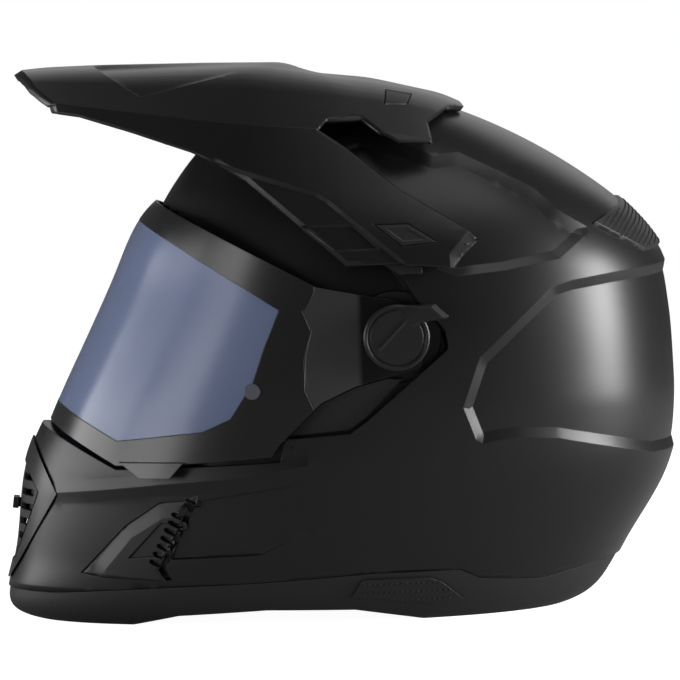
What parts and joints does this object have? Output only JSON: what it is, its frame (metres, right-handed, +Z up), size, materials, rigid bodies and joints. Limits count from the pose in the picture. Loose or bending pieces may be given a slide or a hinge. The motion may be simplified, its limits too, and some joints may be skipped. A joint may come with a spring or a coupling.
{
  "type": "dual sport helmet",
  "caption": "Full-face dual sport helmet with chin bar, hinged tinted shield, quick-release levers, tilting sun peak, chin vent, foam liner, pads and strap.",
  "frame": {"origin": "centre of the bounding box's bottom face, on the surface that the helmet stands on", "axes": "+Z up; -X is the front, where the wearer looks; -Y is the wearer's left side"},
  "size_m": [0.3698, 0.262, 0.3005],
  "materials": {
    "shell": "matte black moulded shell",
    "foam": "dark expanded foam",
    "lining": "brushed dark lining cloth",
    "rubber": "soft matte rubber",
    "trim": "satin moulded trim",
    "gloss": "gloss black",
    "lens": "tinted blue polycarbonate",
    "insert": "clear anti-fog insert",
    "hardware": "satin black fittings",
    "peak": "matte black peak",
    "badge": "plain dark badge",
    "webbing": "woven black webbing",
    "metal": "brushed steel"
  },
  "bodies": {
    "helmet": {"outer_shell": "shell", "rear_vent": "shell", "eps_liner": "foam", "chin_liner": "foam", "comfort_liner": "lining", "cheek_pad_left": "lining", "cheek_pad_right": "lining", "neck_roll": "lining", "chin_curtain": "lining", "bottom_trim": "rubber", "eye_port_gasket": "rubber", "breath_guard": "rubber", "mouth_vent_frame": "trim", "mouth_vent_cover": "trim", "side_scoop_left": "trim", "side_scoop_right": "trim", "side_plate_left": "trim", "side_plate_right": "trim", "rim_plate_left": "trim", "rim_plate_right": "trim", "pivot_base_left": "hardware", "pivot_base_right": "hardware", "peak_mount_left": "hardware", "peak_mount_right": "hardware", "strap_left": "webbing", "strap_right": "webbing", "strap_rings": "metal", "peak_screws": "metal", "strap_anchor_left": "metal", "strap_anchor_right": "metal"},
    "shield": {"shield_frame": "gloss", "shield_arm_left": "gloss", "shield_arm_right": "gloss", "shield_window": "lens", "shield_insert": "insert", "shield_pins": "hardware"},
    "lever_left": {"pivot_lever_left": "hardware"},
    "lever_right": {"pivot_lever_right": "hardware"},
    "peak_body": {"peak": "peak", "peak_badge_left": "badge", "peak_badge_right": "badge", "peak_plug_left": "peak", "peak_plug_right": "peak"},
    "vent_slider": {"mouth_vent_slider": "trim"}
  },
  "joints": [
    {"name": "shield_hinge", "type": "hinge", "parent": "helmet", "child": "shield", "pos_m": [0.02406, 0, 0.15297], "axis": [0, 1, 0], "range_deg": [0, 38]},
    {"name": "lever_left_turn", "type": "hinge", "parent": "helmet", "child": "lever_left", "pos_m": [0.02406, -0.128, 0.15297], "axis": [0, 1, 0], "range_deg": [0, 25]},
    {"name": "lever_right_turn", "type": "hinge", "parent": "helmet", "child": "lever_right", "pos_m": [0.02406, 0.128, 0.15297], "axis": [0, 1, 0], "range_deg": [0, 25]},
    {"name": "peak_tilt", "type": "hinge", "parent": "helmet", "child": "peak_body", "pos_m": [0.02801, 0, 0.19631], "axis": [0, 1, 0], "range_deg": [-4, 2]},
    {"name": "vent_slide", "type": "slide", "parent": "helmet", "child": "vent_slider", "axis": [-0.1392, 0, -0.9903], "range_m": [0, 0.008]}
  ]
}
